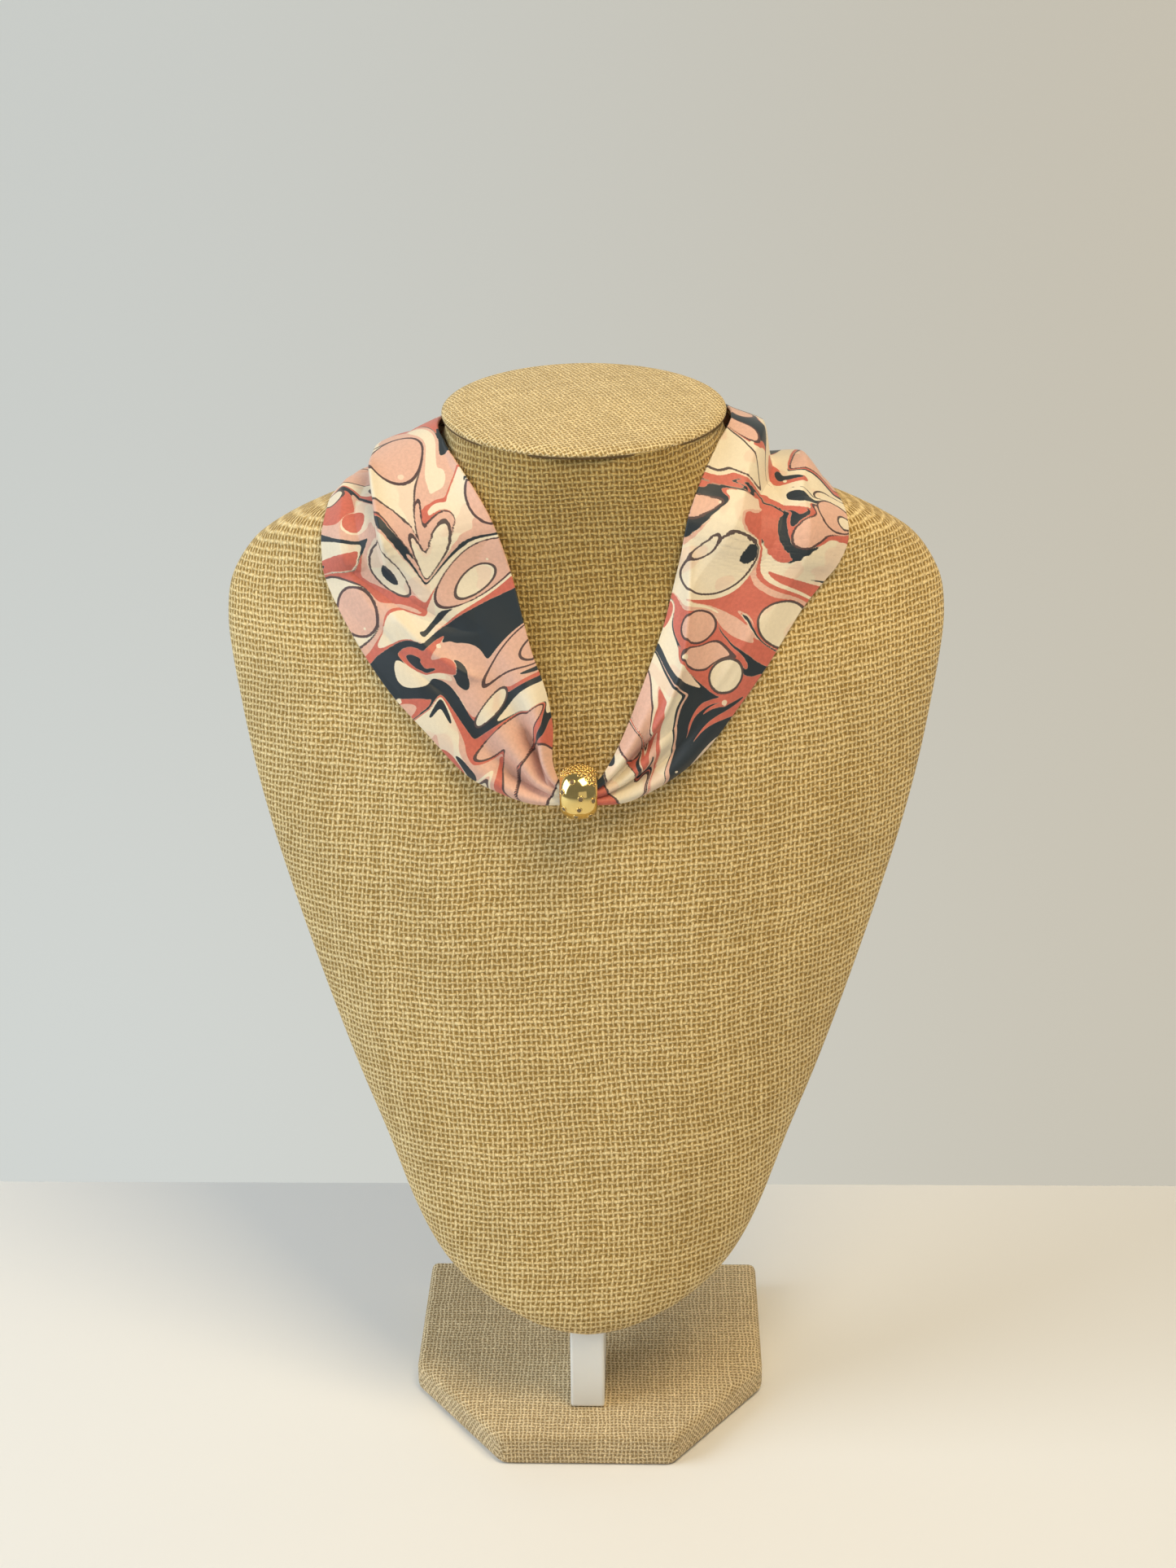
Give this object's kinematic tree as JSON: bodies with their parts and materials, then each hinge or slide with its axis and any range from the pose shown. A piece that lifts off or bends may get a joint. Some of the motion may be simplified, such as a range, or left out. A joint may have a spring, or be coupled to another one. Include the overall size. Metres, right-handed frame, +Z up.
{
  "type": "skinny silk scarf on a necklace display bust",
  "caption": "Skinny silk scarf worn as a loop and gathered through a gold ring at the front, on a limbless burlap-covered display bust with a post and a flat base.",
  "frame": {"origin": "centre of the base's flat underside", "axes": "+Z up, -Y the way the bust and the scarf's ring face, +X to the right as seen from the front"},
  "size_m": [0.23, 0.1493, 0.3337],
  "materials": {
    "silk": "soft satin, marbled",
    "gold": "polished",
    "burlap": "coarse plain weave",
    "burlap_base": "coarse plain weave",
    "white_paint": "satin paint"
  },
  "bodies": {
    "root": {"scarf_left": "silk", "scarf_nape": "silk", "scarf_right": "silk", "scarf_ring": "gold", "bust_body": "burlap", "neck_cap": "burlap", "post": "white_paint", "base": "burlap_base"}
  },
  "joints": []
}
